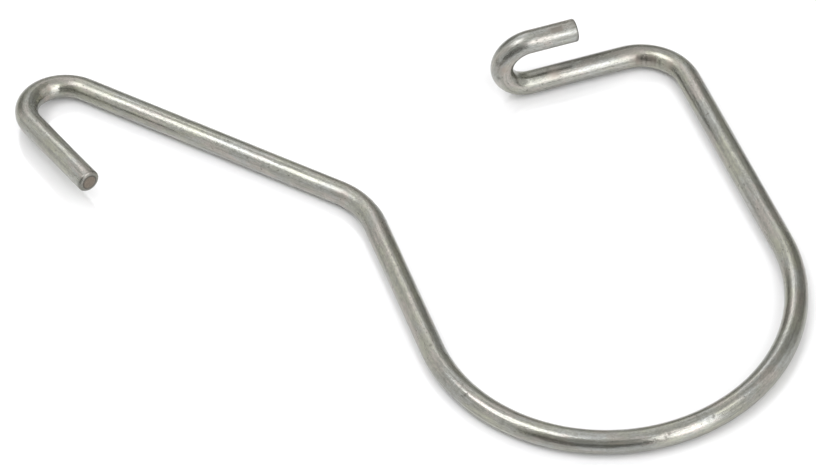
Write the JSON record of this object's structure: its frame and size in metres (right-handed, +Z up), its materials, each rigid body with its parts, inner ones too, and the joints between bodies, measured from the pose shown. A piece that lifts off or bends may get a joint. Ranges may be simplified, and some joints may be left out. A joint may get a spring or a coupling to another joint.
{
  "type": "meat hook",
  "caption": "Bent round-wire meat hook: a wide open half-round bend between a long arm and a short arm, each arm ending in a small return hook.",
  "frame": {"origin": "on the surface the hook lies on, under the middle of its outline", "axes": "+X along the longest side of the outline, from the long arm's return hook towards the wide bend; +Z up, square to the plane of the wide bend, on the side where the short arm's return hook stands up"},
  "size_m": [0.2068, 0.1432, 0.0223],
  "materials": {
    "plated_steel_wire": "bright plated drawn wire with fine lengthwise drawing lines, light tool marks at the bends and bare sheared ends"
  },
  "bodies": {
    "root": {"hook_wire": "plated_steel_wire"}
  },
  "joints": []
}
